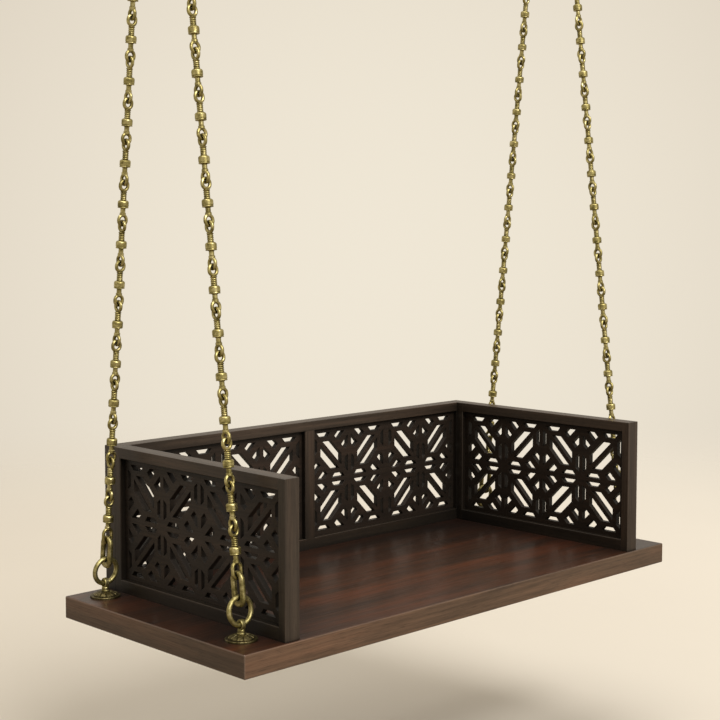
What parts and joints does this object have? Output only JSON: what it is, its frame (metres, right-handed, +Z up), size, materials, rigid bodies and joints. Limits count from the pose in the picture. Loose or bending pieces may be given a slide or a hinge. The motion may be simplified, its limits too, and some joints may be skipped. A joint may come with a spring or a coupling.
{
  "type": "jhoola swing seat",
  "caption": "Hanging plank swing seat with pierced wooden side and back panels on turned brass chains from two ceiling plates.",
  "frame": {"origin": "centre of the four ceiling bolt holes, on the ceiling plane", "axes": "+X along the seat from its left end to its right end, +Y from its front to its back panel, +Z up"},
  "size_m": [1.372, 0.608, 2.2275],
  "materials": {
    "seat_wood": "satin lacquer",
    "frame_wood": "satin",
    "lattice_wood": "matt stain",
    "dowel_wood": "bare",
    "brass": "aged, polished on the high spots",
    "steel": "zinc plated"
  },
  "bodies": {
    "root": {"left_ceiling_plate": "brass", "left_staple": "brass", "right_ceiling_plate": "brass", "right_staple": "brass"},
    "left_hanger": {"left_hanger_ring": "brass"},
    "right_hanger": {"right_hanger_ring": "brass"},
    "left_chains": {"left_back_lower_chain": "brass", "left_back_middle_chain": "brass", "left_back_upper_chain": "brass", "left_front_lower_chain": "brass", "left_front_middle_chain": "brass", "left_front_upper_chain": "brass"},
    "right_chains": {"right_back_lower_chain": "brass", "right_back_middle_chain": "brass", "right_back_upper_chain": "brass", "right_front_lower_chain": "brass", "right_front_middle_chain": "brass", "right_front_upper_chain": "brass"},
    "seat": {"anchor_nuts": "steel", "anchor_washers": "steel", "back_panel_bottom_rail": "frame_wood", "back_panel_centre_stile": "frame_wood", "back_panel_left_jali": "lattice_wood", "back_panel_left_stile": "frame_wood", "back_panel_right_jali": "lattice_wood", "back_panel_right_stile": "frame_wood", "back_panel_screws": "steel", "back_panel_top_rail": "frame_wood", "corner_dowels": "dowel_wood", "left_back_connector": "brass", "left_back_eye_bolt": "brass", "left_back_ring": "brass", "left_back_rosette": "brass", "left_front_connector": "brass", "left_front_eye_bolt": "brass", "left_front_ring": "brass", "left_front_rosette": "brass", "left_panel_back_stile": "frame_wood", "left_panel_bottom_rail": "frame_wood", "left_panel_front_stile": "frame_wood", "left_panel_jali": "lattice_wood", "left_panel_screws": "steel", "left_panel_top_rail": "frame_wood", "right_back_connector": "brass", "right_back_eye_bolt": "brass", "right_back_ring": "brass", "right_back_rosette": "brass", "right_front_connector": "brass", "right_front_eye_bolt": "brass", "right_front_ring": "brass", "right_front_rosette": "brass", "right_panel_back_stile": "frame_wood", "right_panel_bottom_rail": "frame_wood", "right_panel_front_stile": "frame_wood", "right_panel_jali": "lattice_wood", "right_panel_screws": "steel", "right_panel_top_rail": "frame_wood", "seat_plank": "seat_wood"}
  },
  "joints": [
    {"name": "swing", "type": "hinge", "parent": "root", "child": "left_hanger", "pos_m": [-0.624, 0, -0.034], "axis": [1, 0, 0], "range_deg": [-25, 25]},
    {"name": "right_swing", "type": "hinge", "parent": "root", "child": "right_hanger", "pos_m": [0.624, 0, -0.034], "axis": [1, 0, 0], "range_deg": [-25, 25]},
    {"name": "sway", "type": "hinge", "parent": "left_hanger", "child": "left_chains", "pos_m": [-0.624, 0, -0.08282], "axis": [0, 1, 0], "range_deg": [-8, 8]},
    {"name": "right_sway", "type": "hinge", "parent": "right_hanger", "child": "right_chains", "pos_m": [0.624, 0, -0.08282], "axis": [0, 1, 0], "range_deg": [-8, 8]},
    {"name": "seat_level", "type": "hinge", "parent": "left_chains", "child": "seat", "pos_m": [-0.624, 0, -2.03285], "axis": [0, 1, 0], "range_deg": [-8, 8]}
  ],
  "couplings": [
    {"joint": "right_swing", "follows": "swing", "ratio": 1},
    {"joint": "right_sway", "follows": "sway", "ratio": 1},
    {"joint": "seat_level", "follows": "sway", "ratio": -1}
  ]
}
